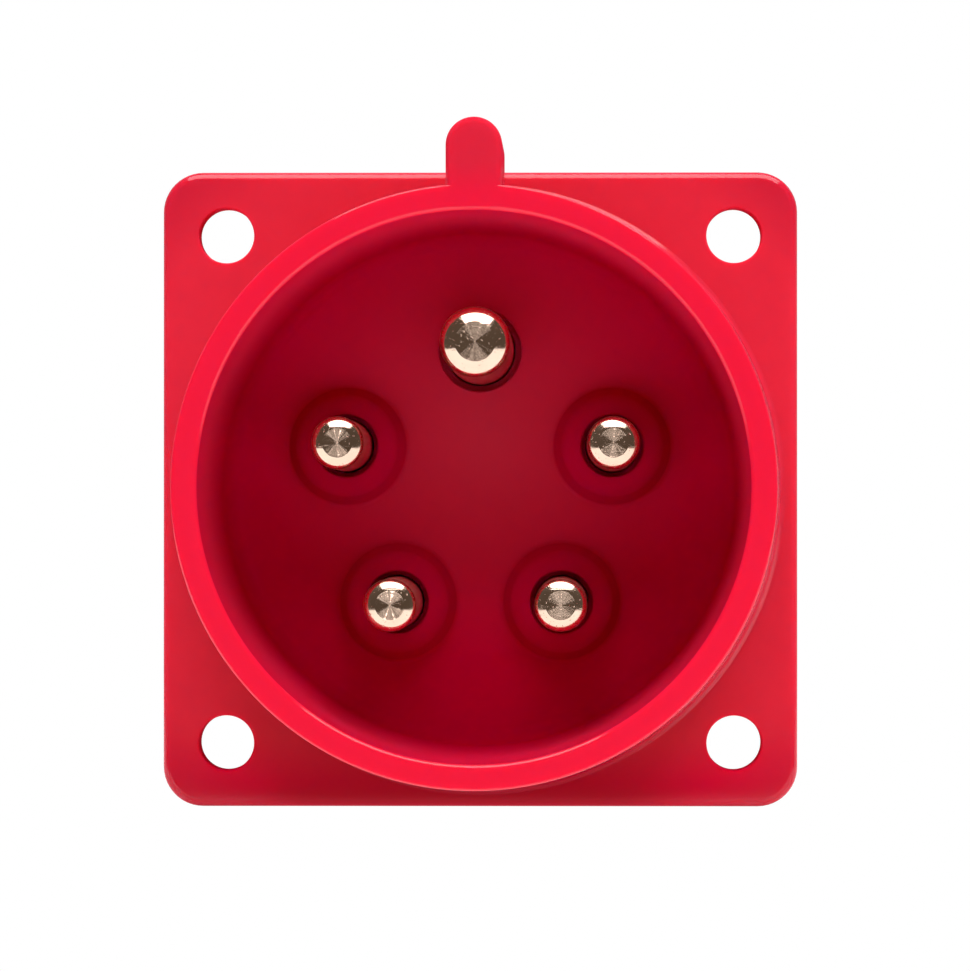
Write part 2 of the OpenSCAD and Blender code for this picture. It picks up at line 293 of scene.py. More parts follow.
# %% [markdown]
# ## The housing
# The red housing is one moulding. Its shroud, floor and rear skirt are turned together, so one half section
# gives them, with a hint of draft on both walls, a narrow radius along the rim and a wider one where the
# floor meets the wall. The fillet at the foot dips just under the flange's face, so that the two skins cross
# instead of touching.

# %% Shroud, floor and skirt
FRONT = 5.0
RIM = 49.0
RIM_OUT_R, RIM_IN_R = 33.75, 30.85
RIM_OUT_ROUND, RIM_IN_ROUND = 0.25, 0.5
FLOOR_R = 30.2
FLOOR_FILLET = 1.8
FLOOR_UNDER = 1.5
FOOT_R = 35.5
FOOT_FILLET = 0.8
FOOT_UNDER = 2.5
SKIRT_OUT_R, SKIRT_IN_R = 30.0, 27.6
SKIRT_END = -10.0
SKIRT_ROUND, SKIRT_IN_ROUND = 0.3, 0.25
DIP = 0.02
BIG_STEPS = 192
shroud = turned([
    (0, FLOOR_UNDER, 0), (SKIRT_IN_R, FLOOR_UNDER, SKIRT_ROUND), (SKIRT_IN_R, SKIRT_END, SKIRT_IN_ROUND),
    (SKIRT_OUT_R, SKIRT_END, SKIRT_ROUND), (SKIRT_OUT_R, FOOT_UNDER, 0),
    (FOOT_R + FOOT_FILLET, FOOT_UNDER, 0), (FOOT_R + FOOT_FILLET, FRONT - DIP, 0),
    (FOOT_R, FRONT - DIP, FOOT_FILLET), (RIM_OUT_R, RIM, RIM_OUT_ROUND), (RIM_IN_R, RIM, RIM_IN_ROUND),
    (FLOOR_R, FRONT, FLOOR_FILLET), (0, FRONT, 0),
], steps=BIG_STEPS)
print("shroud:", len(shroud.faces), "faces")

# %% [markdown]
# The square flange is a plate with a soft front edge. Its middle is cut away first, because the floor
# already fills it.

# %% Flange
FLANGE_SIDE = 75.0
FLANGE_CORNER_R = 4.7
FLANGE_BACK_ROUND, FLANGE_FRONT_ROUND = 0.25, 0.95
FLANGE_MIDDLE_R = 28.8
PAST = 1.0
flange = plate(FLANGE_SIDE, FLANGE_CORNER_R, 0, FRONT, FLANGE_BACK_ROUND, FLANGE_FRONT_ROUND)
flange = boolean(flange, [bar(FLANGE_MIDDLE_R, -PAST, FRONT + PAST, steps=BIG_STEPS)], "DIFFERENCE")
print("flange:", len(flange.faces), "faces")

# %% [markdown]
# The key nose on top of the shroud is a bar with a round crest. Its end face starts as a rectangle whose two
# upper corners are bevelled by half its width, which makes a half circle. An extrusion gives its length, and
# a narrow bevel softens the outlines of its two ends.

# %% Key nose
NOSE_W = 6.3
NOSE_CREST = 41.25
NOSE_ROOT = 31.2
NOSE_BACK = 25.0
NOSE_ROUNDS = {RIM: 0.8, NOSE_BACK: 0.4}
NOSE_ARC_STEPS = 16
NOSE_ROUND_STEPS = 4
NEAR = 0.01
nose = bmesh.new()
nose_middle = Matrix.Translation((0, (NOSE_ROOT + NOSE_CREST) / 2, NOSE_BACK))
bmesh.ops.create_grid(nose, x_segments=1, y_segments=1, size=0.5,
                      matrix=nose_middle @ Matrix.Diagonal((NOSE_W, NOSE_CREST - NOSE_ROOT, 1, 1)))
crest = [v for v in nose.verts if v.co.y > NOSE_CREST - NEAR]
rounded(nose, crest, NOSE_W / 2, NOSE_ARC_STEPS, "VERTICES")
bmesh.ops.remove_doubles(nose, verts=nose.verts[:], dist=LEVEL_SLACK)
thickened(nose, RIM - NOSE_BACK)
closed(nose)
for level, rounding in NOSE_ROUNDS.items():
    outline = [e for e in edges_at(nose, level) if max(v.co.y for v in e.verts) > NOSE_ROOT + NEAR]
    rounded(nose, outline, rounding, NOSE_ROUND_STEPS, "EDGES")
closed(nose)
print("nose:", len(nose.faces), "faces,", open_edges(nose), "open edges")

# %% [markdown]
# Each live pin stands in a raised boss with sloping sides and a soft shoulder, the earth pin in a plain
# hole. Behind the floor, three posts with a web to the skirt take the carrier's screws. All of them are
# lathe work and boxes that the Boolean joins.

# %% Bosses and posts
BOSS_TOP = 11.0
BOSS_FOOT_R, BOSS_SHOULDER_R = 7.0, 5.7
BOSS_FOOT_ROUND, BOSS_SHOULDER_ROUND = 0.5, 1.7
BOSS_UNDER_R = 7.6
BOSS_UNDER = 1.7
SEAT = -4.0
POST_R = 4.0
POST_ROUND = 0.3
POST_TOP = 3.0
WEB_REACH = 5.0
SMALL_STEPS = 64
bosses = [placed(turned([
    (0, BOSS_UNDER, 0), (BOSS_UNDER_R, BOSS_UNDER, 0), (BOSS_UNDER_R, FRONT - DIP, 0),
    (BOSS_FOOT_R, FRONT - DIP, BOSS_FOOT_ROUND), (BOSS_SHOULDER_R, BOSS_TOP, BOSS_SHOULDER_ROUND),
    (0, BOSS_TOP, 0),
]), POLE_PLACE[pole]) for pole in POLES if pole != "earth"]
posts = []
for place in POST_PLACE.values():
    post = bar(POST_R, SEAT, POST_TOP, low_r=POST_ROUND, steps=SMALL_STEPS)
    web = block((0, -POST_R, SEAT), (WEB_REACH, POST_R, POST_TOP))
    posts.append(placed(boolean(post, [web], "UNION"), place))
print(len(bosses), "bosses and", len(posts), "posts")

# %% [markdown]
# Each hole has a cutter that flares at its mouth, so that the hole gets a moulded radius instead of a
# knife edge. A little below the mouth of a pin hole, the cutter steps in and leaves a lip that guides the
# pin.

# %% Hole cutters
MOUTH_ROUND = 0.25
MOUTH_STEPS = 4
LIP_ROUND = 0.15
LIP_DEPTH = 2.4
FIXING_R = 3.25
FIXING_AT = 30
FIXING_SIDES = (-FIXING_AT, FIXING_AT)
FIXINGS = [Matrix.Translation((x, y, 0)) for x in FIXING_SIDES for y in FIXING_SIDES]
PILOT_R = 1.8
PILOT_TOP = 2.05
PIN_HOLE_LOW = 0.5
PROUD = 0.01
TINY_STEPS = 48
LIVE_HOLE = {"radius": 3.65, "high": BOSS_TOP, "lip_r": 3.15}
EARTH_HOLE = {"radius": 4.85, "high": FRONT, "lip_r": 4.15}


def hole_cutter(radius, low, high, lip_r=None):
    """Bar for a hole whose rim at the high end is rounded, stepped in where a lip guides a pin."""
    top = high + PROUD
    wide = radius + 2 * MOUTH_ROUND
    foot = [(0, low, 0), (radius, low, 0)]
    if lip_r:
        lip_top = high - LIP_DEPTH
        foot = [(0, low, 0), (lip_r, low, 0), (lip_r, lip_top, LIP_ROUND), (radius, lip_top, 0)]
    mouth = [(radius, top, MOUTH_ROUND), (wide, top, 0), (wide, top + PAST, 0), (0, top + PAST, 0)]
    return turned(foot + mouth, steps=SMALL_STEPS, arc_steps=MOUTH_STEPS)


holes = [placed(hole_cutter(FIXING_R, -PAST, FRONT), place) for place in FIXINGS]
for pole, place in POLE_PLACE.items():
    size = EARTH_HOLE if pole == "earth" else LIVE_HOLE
    holes.append(placed(hole_cutter(low=PIN_HOLE_LOW, **size), place))
for place in POST_PLACE.values():
    holes.append(placed(bar(PILOT_R, SEAT - PAST, PILOT_TOP, steps=TINY_STEPS), place))
print(len(holes), "hole cutters")

# %% [markdown]
# Booleans now join the parts of the housing, and a last one takes out every hole at once.

# %% Join the housing and cut its holes
housing = boolean(shroud, [flange], "UNION")
housing = boolean(housing, [nose, *bosses, *posts], "UNION")
housing = boolean(housing, holes, "DIFFERENCE")
housing_piece = finished("housing_moulding", housing, "housing", "inlet")

# %% [markdown]
# ## The gasket
# A flat rubber seal lies behind the flange. It is the flange's outline again, a little smaller, with
# softened edges and holes that stand back from the fixing holes.

# %% Gasket
GASKET_SIDE = 74.0
GASKET_CORNER_R = 4.2
GASKET_BACK = -2.0
GASKET_ROUND = 0.3
GASKET_BORE_R = 30.1
GASKET_HOLE_R = 3.75
gasket = plate(GASKET_SIDE, GASKET_CORNER_R, GASKET_BACK, 0, GASKET_ROUND, GASKET_ROUND)
gasket_holes = [bar(GASKET_BORE_R, GASKET_BACK - PAST, PAST, steps=BIG_STEPS)]
gasket_holes += [placed(bar(GASKET_HOLE_R, GASKET_BACK - PAST, PAST, steps=SMALL_STEPS), p) for p in FIXINGS]
gasket = boolean(gasket, gasket_holes, "DIFFERENCE")
gasket_piece = finished("flange_seal", gasket, "flange_gasket", "inlet")

# %% [markdown]
# ## The pins
# A pin, its trapping collar and its terminal barrel are turned from one brass bar, so one half section gives
# all three, wire bore included. The contact end is a shallow dome with a flat that the parting tool has left
# in fine rings. Those rings are cut for real, because they throw light up and down but not sideways, and
# that draws the bow tie on the tip. How deep they are differs from pin to pin.

# %% Outline of a tip
RING_PITCH = 0.07
RING_DEPTHS = {"line_1": 0.0102, "line_2": 0.0108, "line_3": 0.0106, "neutral": 0.0102, "earth": 0.0088}
EDGE_SHARE = 0.31
EDGE_STEPS = 8
DOME_STEPS = 10
LIVE_TIP = {"radius": 3, "tip": 39, "dome_r": 6, "flat_r": 1.65}
EARTH_TIP = {"radius": 4, "tip": 41.5, "dome_r": 7.2, "flat_r": 2.2}


def arc_points(centre_r, centre_z, radius, first, last, steps):
    """Corners along an arc in the half section, both ends included."""
    angles = [first + (last - first) * step / steps for step in range(steps + 1)]
    return [(centre_r + radius * math.cos(a), centre_z + radius * math.sin(a), 0) for a in angles]


def tip_outline(radius, tip, dome_r, flat_r, ring_depth):
    """Corners from the pin's side round its edge, over its dome and across the flat's rings to the axis."""
    dome_z = tip - math.sqrt(dome_r ** 2 - flat_r ** 2)
    rounding = EDGE_SHARE * radius
    edge_r = radius - rounding
    edge_z = math.sqrt((dome_r - rounding) ** 2 - edge_r ** 2)
    lean = math.atan2(edge_z, edge_r)
    edge = arc_points(edge_r, dome_z + edge_z, rounding, 0, lean, EDGE_STEPS)
    dome = arc_points(0, dome_z, dome_r, lean, math.acos(flat_r / dome_r), DOME_STEPS)
    quarters = 4 * round(flat_r / RING_PITCH)
    rings = [(flat_r * (1 - k / quarters), tip - ring_depth * (1 - math.cos(math.pi * k / 2)) / 2, 0)
             for k in range(1, quarters + 1)]
    return edge + dome[1:] + rings


print("corners of a live pin's tip:", len(tip_outline(**LIVE_TIP, ring_depth=RING_DEPTHS["line_1"])))

# %% [markdown]
# The tool chatters as it parts the bar, so some rings are deeper than others, and each of them is deeper
# along some spokes. The mesh has its own row of vertices along each spoke, so moving them is enough. A seed
# makes the chance the same in every run.

# %% Streaks on a tip
SPOKES = 96
SPOKE_DEPTHS = (0.4, 1.22)
RING_CUTS = (0.85, 1.15)
chance = random.Random(5)


def streaked(bm, tip, flat_r, ring_depth):
    """Cut some rings deeper than others, and each of them deeper along some spokes."""
    depths = [chance.uniform(*SPOKE_DEPTHS) for _ in range(SPOKES)]
    cuts = [chance.uniform(*RING_CUTS) for _ in range(math.ceil(flat_r / RING_PITCH) + 1)]
    for vert in bm.verts:
        if vert.co.xy.length < flat_r and vert.co.z > tip - 2 * ring_depth:
            spoke = round(math.atan2(vert.co.y, vert.co.x) / math.tau * SPOKES) % SPOKES
            ring = int(vert.co.xy.length / RING_PITCH)
            vert.co.z = tip - (tip - vert.co.z) * depths[spoke] * cuts[ring]
    return bm


print("a ring is at most", round(SPOKE_DEPTHS[1] * RING_CUTS[1] * max(RING_DEPTHS.values()), 4), "mm deep")

# %% [markdown]
# The collar has a flat on its inner side, which stops the pin turning in the carrier, and the barrel a hole
# for its clamp screw. Both are cut across the bar once it is turned.

# %% Pins
COLLAR_TOP = 1.4
COLLAR = -1.6
COLLAR_R = 5.7
COLLAR_FLAT = 4.9
COLLAR_ROUND = 0.2
NECK_FILLET = 0.15
BARREL_R = 5.2
BARREL_END = -27.6
BARREL_ROUND = 0.45
WIRE_R = 2.75
WIRE_END, WIRE_CONE = -11.6, -11.0
WIRE_ROUND = 0.2
CLAMP = -20.6
CLAMP_LINE = Matrix.Translation((0, 0, CLAMP)) @ Matrix.Rotation(math.radians(90), 4, "Y")
CLAMP_HOLE_R = 2.05
ACROSS = 7.0
FLAT_PAST = 0.5
PIN_ARC_STEPS = 4


def turned_pin(ring_depth, radius, **tip_form):
    """Bar with wire bore, barrel, collar, contact and tip."""
    return turned([
        (0, WIRE_CONE, 0), (WIRE_R, WIRE_END, 0), (WIRE_R, BARREL_END, WIRE_ROUND),
        (BARREL_R, BARREL_END, BARREL_ROUND), (BARREL_R, COLLAR, 0), (COLLAR_R, COLLAR, COLLAR_ROUND),
        (COLLAR_R, COLLAR_TOP, COLLAR_ROUND), (radius, COLLAR_TOP, NECK_FILLET),
        *tip_outline(radius, ring_depth=ring_depth, **tip_form),
    ], steps=SPOKES, arc_steps=PIN_ARC_STEPS)


pin_pieces = []
for pole, place in POLE_PLACE.items():
    form = EARTH_TIP if pole == "earth" else LIVE_TIP
    ring_depth = RING_DEPTHS[pole]
    pin = streaked(turned_pin(ring_depth, **form), form["tip"], form["flat_r"], ring_depth)
    flat = block((-ACROSS, -ACROSS, COLLAR - FLAT_PAST),
                 (-COLLAR_FLAT, ACROSS, COLLAR_TOP + FLAT_PAST))
    screw_hole = placed(bar(CLAMP_HOLE_R, 0, ACROSS, steps=TINY_STEPS), CLAMP_LINE)
    pin = placed(boolean(pin, [flat, screw_hole], "DIFFERENCE"), place)
    pin_pieces.append(finished(f"contact_pin_{pole}", pin, f"pin_{pole}", "inlet"))

# %% [markdown]
# ## The contact carrier
# A charcoal moulding closes the back. Its plate seats on the posts, five sockets trap the pins' collars, and
# five tubes with ribs between them keep the live terminals apart. Every open rim has a small radius. One
# loop over the poles makes the parts, because each pole has the same tube, socket, bore and window.

# %% Tubes, sockets and ribs
PLATE = -8.0
MID_PLATE = -6.0
TUBE_END = -29.6
TUBE_R = 7.5
TUBE_ROUND = 0.5
SOCKET_R = 8.0
SMALL_ROUND = 0.4
RIB_REACH = 20.2
RIB_HALF = 1.0
RIB_TURN = 36
RIB_STEPS = 3
BORE_R = 5.3
BORE_MOUTH_R = 6.1
POCKET_R = 5.8
WINDOW_R = 3.9
WINDOW_FROM, WINDOW_TO = 1.0, 15.0


def rounded_rib(angle):
    """Rib between two tubes, with soft outer edges."""
    rib = block((0, -RIB_HALF, TUBE_END), (RIB_REACH, RIB_HALF, MID_PLATE))
    end = edges_at(rib, TUBE_END)
    outer = [e for e in rib.edges
             if e in end or all(abs(v.co.x - RIB_REACH) < LEVEL_SLACK for v in e.verts)]
    rounded(rib, outer, SMALL_ROUND, RIB_STEPS, "EDGES")
    return placed(closed(rib), Matrix.Rotation(math.radians(angle), 4, "Z"))


bore_outline = [
    (0, TUBE_END - PAST, 0), (BORE_MOUTH_R, TUBE_END - PAST, 0), (BORE_MOUTH_R, TUBE_END - PROUD, 0),
    (BORE_R, TUBE_END - PROUD, SMALL_ROUND), (BORE_R, COLLAR, 0), (POCKET_R, COLLAR, 0),
    (POCKET_R, COLLAR_TOP + PAST, 0), (0, COLLAR_TOP + PAST, 0),
]
tubes, sockets, ribs, bores, windows = [], [], [], [], []
for pole, place in POLE_PLACE.items():
    tubes.append(placed(bar(TUBE_R, TUBE_END, MID_PLATE, low_r=TUBE_ROUND), place))
    sockets.append(placed(bar(SOCKET_R, MID_PLATE, COLLAR_TOP, high_r=SMALL_ROUND), place))
    ribs.append(rounded_rib(POLES[pole] + RIB_TURN))
    bores.append(placed(turned(bore_outline), place))
    windows.append(placed(bar(WINDOW_R, WINDOW_FROM, WINDOW_TO, steps=SMALL_STEPS), place @ CLAMP_LINE))
print(len(tubes), "tubes with sockets, ribs, bores and windows")

# %% [markdown]
# The plate takes up hub, ribs, tubes and sockets kind by kind, because shapes that overlap each other
# can't share one Boolean. The bores, windows and screw holes come out last.

# %% Contact carrier
CARRIER_R = 27.5
HUB_R = 10.0
PASS_R = 2.15
carrier = bar(CARRIER_R, PLATE, SEAT, SMALL_ROUND, SMALL_ROUND, steps=BIG_STEPS)
carrier = boolean(carrier, [bar(HUB_R, TUBE_END, MID_PLATE, low_r=TUBE_ROUND)], "UNION")
for rib in ribs:
    carrier = boolean(carrier, [rib], "UNION")
carrier = boolean(carrier, tubes, "UNION")
carrier = boolean(carrier, sockets, "UNION")
carrier = boolean(carrier, bores, "DIFFERENCE")
for_screws = [placed(bar(PASS_R, PLATE - PAST, SEAT + PAST, steps=TINY_STEPS), place)
              for place in POST_PLACE.values()]
carrier = boolean(carrier, windows + for_screws, "DIFFERENCE")
carrier_piece = finished("contact_carrier_moulding", carrier, "contact_carrier", "inlet")

# %% [markdown]
# ## The screws
# A thread is a short zigzag that is spun and lifted at once: the spin's dvec raises it by one pitch in a
# turn, so each turn lands on the last and the doubles merge. Two bisecting planes cut the ends square.

# %% Threads
THREAD_STEPS = 32


def thread(radius, pitch, depth, low, high):
    """Threaded rod about Z between two levels."""
    bm = bmesh.new()
    root = radius - depth
    zigzag = [(root, 0), (root, 0.2), (radius, 0.52), (radius, 0.68), (root, 1)]
    points = [bm.verts.new((r, 0, share * pitch)) for r, share in zigzag]
    for a, b in zip(points, points[1:]):
        bm.edges.new((a, b))
    turns = math.ceil((high - low) / pitch) + 2
    bmesh.ops.spin(bm, geom=bm.verts[:] + bm.edges[:], cent=(0, 0, 0), axis=(0, 0, 1),
                   dvec=(0, 0, pitch / THREAD_STEPS), angle=math.tau * turns,
                   steps=THREAD_STEPS * turns, use_merge=False)
    bmesh.ops.remove_doubles(bm, verts=bm.verts[:], dist=1e-4)
    bmesh.ops.translate(bm, verts=bm.verts[:], vec=(0, 0, low - pitch))
    for level, normal in ((low, -1), (high, 1)):
        bmesh.ops.bisect_plane(bm, geom=bm.verts[:] + bm.edges[:] + bm.faces[:], dist=1e-6,
                               plane_co=(0, 0, level), plane_no=(0, 0, normal), clear_outer=True)
    bmesh.ops.holes_fill(bm, edges=[e for e in bm.edges if e.is_boundary])
    return closed(bm)


trial = thread(2, 0.7, 0.35, 0, 6)
print("thread:", len(trial.faces), "faces,", open_edges(trial), "open edges")
trial.free()

# %% [markdown]
# A clamp screw has a cheese head with a slot and points at the axis of its terminal. It is the one piece
# that moves: its body slides inwards until the screw's end holds the wire, and the rest place is here.

# %% Clamp screws
CLAMP_TIP = 2.85
CLAMP_HEAD = 8.85
CLAMP_HEAD_R = 3.5
CLAMP_HEAD_TOP = 11.45
CLAMP_HEAD_ROUNDS = (0.2, 0.35)
CLAMP_THREAD = {"radius": 2, "pitch": 0.7, "depth": 0.33}
SLOT_REACH, SLOT_HALF = 5.0, 0.5
SLOT_DEPTH = 1.2
ROOT_LAP = 0.6
screw_pieces = []
for pole, place in POLE_PLACE.items():
    head = bar(CLAMP_HEAD_R, CLAMP_HEAD, CLAMP_HEAD_TOP, *CLAMP_HEAD_ROUNDS, steps=SMALL_STEPS)
    shank = thread(**CLAMP_THREAD, low=CLAMP_TIP, high=CLAMP_HEAD + ROOT_LAP)
    slot = block((-SLOT_REACH, -SLOT_HALF, CLAMP_HEAD_TOP - SLOT_DEPTH),
                 (SLOT_REACH, SLOT_HALF, CLAMP_HEAD_TOP + PAST))
    screw = boolean(boolean(head, [shank], "UNION"), [slot], "DIFFERENCE")
    screw = placed(screw, place @ CLAMP_LINE)
    screw_pieces.append(
        finished(f"terminal_screw_{pole}", screw, f"clamp_screw_{pole}", f"clamp_{pole}"))

# %% [markdown]
# The carrier's screws have pan heads with a cross recess. Each arm of the cross is a block whose inner end
# is scaled down, so that the recess tapers as a driver does.

# %% Carrier screws
PAN_OUTLINE = [(0, 0, 0), (3.2, 0, 0.15), (3.2, -1.5, 0.7), (2.2, -2.4, 0.4), (0, -2.4, 0)]
CARRIER_THREAD = {"radius": 1.75, "pitch": 1.2, "depth": 0.35}
CARRIER_SHANK = 10.0
CROSS_REACH, CROSS_HALF = 1.6, 0.5
CROSS_FROM, CROSS_MIDDLE, CROSS_DEPTH = 3.0, 2.0, 1.2
CROSS_TAPER = 0.6
for post, place in POST_PLACE.items():
    head = turned([(r, PLATE + z, rounding) for r, z, rounding in PAN_OUTLINE], steps=SMALL_STEPS)
    shank = thread(**CARRIER_THREAD, low=PLATE - ROOT_LAP, high=PLATE + CARRIER_SHANK)
    screw = boolean(head, [shank], "UNION")
    for quarter in (0, 90):
        arm = block((-CROSS_REACH, -CROSS_HALF, PLATE - CROSS_FROM),
                    (CROSS_REACH, CROSS_HALF, PLATE - CROSS_DEPTH),
                    Matrix.Rotation(math.radians(quarter), 4, "Z"))
        inner = [v for v in arm.verts if v.co.z > PLATE - CROSS_MIDDLE]
        bmesh.ops.scale(arm, vec=(CROSS_TAPER, CROSS_TAPER, 1), verts=inner)
        screw = boolean(screw, [arm], "DIFFERENCE")
    screw = placed(screw, place)
    screw_pieces.append(
        finished(f"plate_screw_{post}", screw, f"carrier_screw_{post}", "inlet"))

# %% [markdown]
# ## Camera
# The portrait is taken square on from about three quarters of a metre with a long lens, a hair to the right
# of the axis, so the pins lean a little and one wall of the shroud shows wider than the other.

# %% Camera
CAMERA_AT = Vector((0.0118, -0.736, -0.0038))
LOOK_AT = Vector((0.00058, -0.005, 0.00044))
LENS_MM, SENSOR_MM = 229.25, 36
camera_data = bpy.data.cameras.new("portrait_camera")
camera = bpy.data.objects.new("portrait_camera", camera_data)
bpy.context.scene.collection.objects.link(camera)
camera_data.lens = LENS_MM
camera_data.sensor_width = SENSOR_MM
camera_data.clip_start, camera_data.clip_end = 0.01, 50
camera.location = CAMERA_AT
camera.rotation_euler = (LOOK_AT - CAMERA_AT).to_track_quat("-Z", "Y").to_euler()
bpy.context.scene.camera = camera
print("camera stands", round((LOOK_AT - CAMERA_AT).length, 3), "m away")

# %% [markdown]
# ## Finishes
# A material is a small tree of nodes, and three effects come back in several of them here: the soft
# unevenness of a moulded skin, fine scuffs, and the rings that a lathe leaves. Each is a node group with
# named inputs, built once. The groups only put out colours, values and heights; the shader itself, and every
# number that is the same all over, stays in the material, where the export can read it.

# %% Groups and nodes


def new_group(name, inputs, outputs):
    """Empty shader group with its sockets, and its two end nodes."""
    group = bpy.data.node_groups.new(name, "ShaderNodeTree")
    for in_out, sockets in (("INPUT", inputs), ("OUTPUT", outputs)):
        for label, kind, value in sockets:
            socket = group.interface.new_socket(name=label, in_out=in_out, socket_type=f"NodeSocket{kind}")
            if value is not None:
                socket.default_value = value
    return group, group.nodes.new("NodeGroupInput"), group.nodes.new("NodeGroupOutput")


def add(tree, kind, **settings):
    """Node of a kind, with plain settings and input values; an input's spaces are underscores here."""
    node = tree.nodes.new(kind)
    for key, value in settings.items():
        if hasattr(node, key):
            setattr(node, key, value)
        else:
            node.inputs[key.replace("_", " ")].default_value = value
    return node


def feed(tree, socket, value):
    """Give an input a number, or link it to another node's output."""
    if isinstance(value, bpy.types.NodeSocket):
        tree.links.new(value, socket)
    else:
        socket.default_value = value


# %% [markdown]
# The next helpers each add one node and hand back its output, so that a tree can be written like a sum.

# %% Values and blends


def noise(tree, vector, scale, detail=2.0):
    """Soft random value over a place."""
    node = add(tree, "ShaderNodeTexNoise", Detail=detail)
    feed(tree, node.inputs["Vector"], vector)
    feed(tree, node.inputs["Scale"], scale)
    return node.outputs["Fac"]


def spread(tree, value, from_low, from_high, to_low, to_high):
    """Map a value from one range to another, and hold it there."""
    node = add(tree, "ShaderNodeMapRange", clamp=True)
    for label, end in (("Value", value), ("From Min", from_low), ("From Max", from_high),
                       ("To Min", to_low), ("To Max", to_high)):
        feed(tree, node.inputs[label], end)
    return node.outputs["Result"]


def math_of(tree, a, b, operation="ADD"):
    """Result of one sum."""
    node = add(tree, "ShaderNodeMath", operation=operation)
    feed(tree, node.inputs[0], a)
    feed(tree, node.inputs[1], b)
    return node.outputs["Value"]


def blend_of(tree, share, a, b):
    """Colour that goes from a to b as the share rises."""
    node = add(tree, "ShaderNodeMix", data_type="RGBA")
    for label, value in (("Factor", share), ("A", a), ("B", b)):
        feed(tree, node.inputs[label], value)
    return node.outputs["Result"]


# %% [markdown]
# The moulded skin varies slowly in tone and in gloss where the melt has flowed, and closely in height, as
# the mould's own surface has. Object coordinates are in metres, so a noise scale of 90 makes cloudlets of
# about a centimetre and one of 2600 a grain of under half a millimetre.

# %% Group: moulded skin
CLOUD_SCALE = 90
FLOW_SCALE = 320
skin, skin_in, skin_out = new_group(
    "moulded_skin",
    [("Vector", "Vector", None), ("Light Tone", "Color", (0.8, 0.8, 0.8, 1)),
     ("Dark Tone", "Color", (0.6, 0.6, 0.6, 1)), ("Gloss Low", "Float", 0.3), ("Gloss High", "Float", 0.4),
     ("Grain Scale", "Float", 2600.0)],
    [("Colour", "Color", None), ("Roughness", "Float", None), ("Height", "Float", None)])
given = skin_in.outputs
cloud = noise(skin, given["Vector"], CLOUD_SCALE, 3)
flow = noise(skin, given["Vector"], FLOW_SCALE)
grain = noise(skin, given["Vector"], given["Grain Scale"])
tone_share = spread(skin, math_of(skin, cloud, flow), 0.75, 1.25, 0, 1)
colour = blend_of(skin, tone_share, given["Dark Tone"], given["Light Tone"])
gloss = spread(skin, math_of(skin, cloud, grain), 0.7, 1.3, given["Gloss Low"], given["Gloss High"])
for label, value in (("Colour", colour), ("Roughness", gloss), ("Height", grain)):
    skin.links.new(value, skin_out.inputs[label])
print("moulded skin:", len(skin.nodes), "nodes")

# %% [markdown]
# Scuffs are thin and long. A noise that is stretched far along one direction and then cut to its highest
# crests gives such lines; three of them, turned against each other, cross. The group puts out a mask, which
# each material uses to lift its roughness or to dip its height.

# %% Group: fine scuffs
SCUFF_TURNS = ((0.3, 0.5, 0.2), (-0.6, 0.2, 1.1), (1.2, -0.4, 2.1))
SCUFF_STRETCH = (90, 2600, 2600)
SCUFF_FLOOR, SCUFF_DROP, SCUFF_FULL = 0.86, 0.24, 0.9
scuff, scuff_in, scuff_out = new_group(
    "fine_scuffs", [("Vector", "Vector", None), ("Density", "Float", 0.5)], [("Mask", "Float", None)])
thinning = math_of(scuff, scuff_in.outputs["Density"], SCUFF_DROP, "MULTIPLY")
threshold = math_of(scuff, SCUFF_FLOOR, thinning, "SUBTRACT")
crossed = 0.0
for turn in SCUFF_TURNS:
    stretch = add(scuff, "ShaderNodeMapping", Rotation=turn, Scale=SCUFF_STRETCH)
    scuff.links.new(scuff_in.outputs["Vector"], stretch.inputs["Vector"])
    crests = noise(scuff, stretch.outputs["Vector"], 1.0, 1)
    crossed = math_of(scuff, crossed, spread(scuff, crests, threshold, SCUFF_FULL, 0, 1), "MAXIMUM")
scuff.links.new(crossed, scuff_out.inputs["Mask"])
print("fine scuffs:", len(scuff.nodes), "nodes")

# %% [markdown]
# A lathe leaves rings round the bar, so the height changes only along the bar's own axis, which is Y in the
# frame for every pin.

# %% Group: turning rings


def axis_place(tree, place, axis):
    """One coordinate of a place."""
    parts = tree.nodes.new("ShaderNodeSeparateXYZ")
    tree.links.new(place, parts.inputs["Vector"])
    return parts.outputs[axis]


rings, rings_in, rings_out = new_group(
    "turning_rings", [("Vector", "Vector", None), ("Pitch Scale", "Float", 7000.0)],
    [("Height", "Float", None)])
along = add(rings, "ShaderNodeTexNoise", noise_dimensions="1D", Detail=2.0)
rings.links.new(axis_place(rings, rings_in.outputs["Vector"], "Y"), along.inputs["W"])
rings.links.new(rings_in.outputs["Pitch Scale"], along.inputs["Scale"])
rings.links.new(along.outputs["Fac"], rings_out.inputs["Height"])
print("turning rings:", len(rings.nodes), "nodes")

# %% [markdown]
# The materials follow. Each is a principled shader whose colour and roughness come from the skin, and every
# one has some scuffs, which are rougher than the rest.

# %% Skin and scuffs in a material


def object_place(tree):
    """Place on the piece, in the frame's own coordinates."""
    return add(tree, "ShaderNodeTexCoord").outputs["Object"]


def use_group(tree, group, place, **values):
    """Group in a material, with its own input values."""
    node = add(tree, "ShaderNodeGroup", node_tree=group)
    tree.links.new(place, node.inputs["Vector"])
    for key, value in values.items():
        node.inputs[key.replace("_", " ")].default_value = value
    return node


